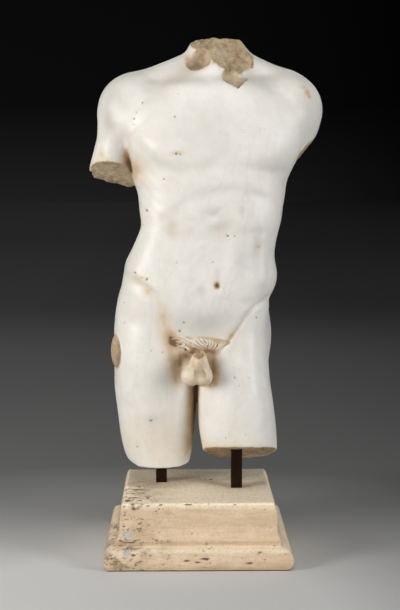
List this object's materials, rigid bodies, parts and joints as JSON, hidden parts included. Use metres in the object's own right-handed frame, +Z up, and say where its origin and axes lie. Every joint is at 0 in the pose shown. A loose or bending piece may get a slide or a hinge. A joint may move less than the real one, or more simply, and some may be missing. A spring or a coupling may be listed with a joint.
{
  "type": "sculpture",
  "caption": "Broken marble torso of a standing athlete, without head, arms or lower legs, held on square metal bars above a moulded square travertine plinth.",
  "frame": {"origin": "the centre of the plinth's underside", "axes": "+Z up, the figure faces -Y, +X is the figure's left"},
  "size_m": [0.3995, 0.3208, 0.903],
  "materials": {
    "marble": "polished white marble with cream and brown patina in the hollows and rough tan breaks",
    "travertine": "honed cream travertine with bedding and open pits",
    "dark_metal": "dark brown patinated steel, satin"
  },
  "bodies": {
    "root": {"torso": "marble", "plinth": "travertine", "support_bar_right_leg": "dark_metal", "support_bar_left_leg": "dark_metal"}
  },
  "joints": []
}
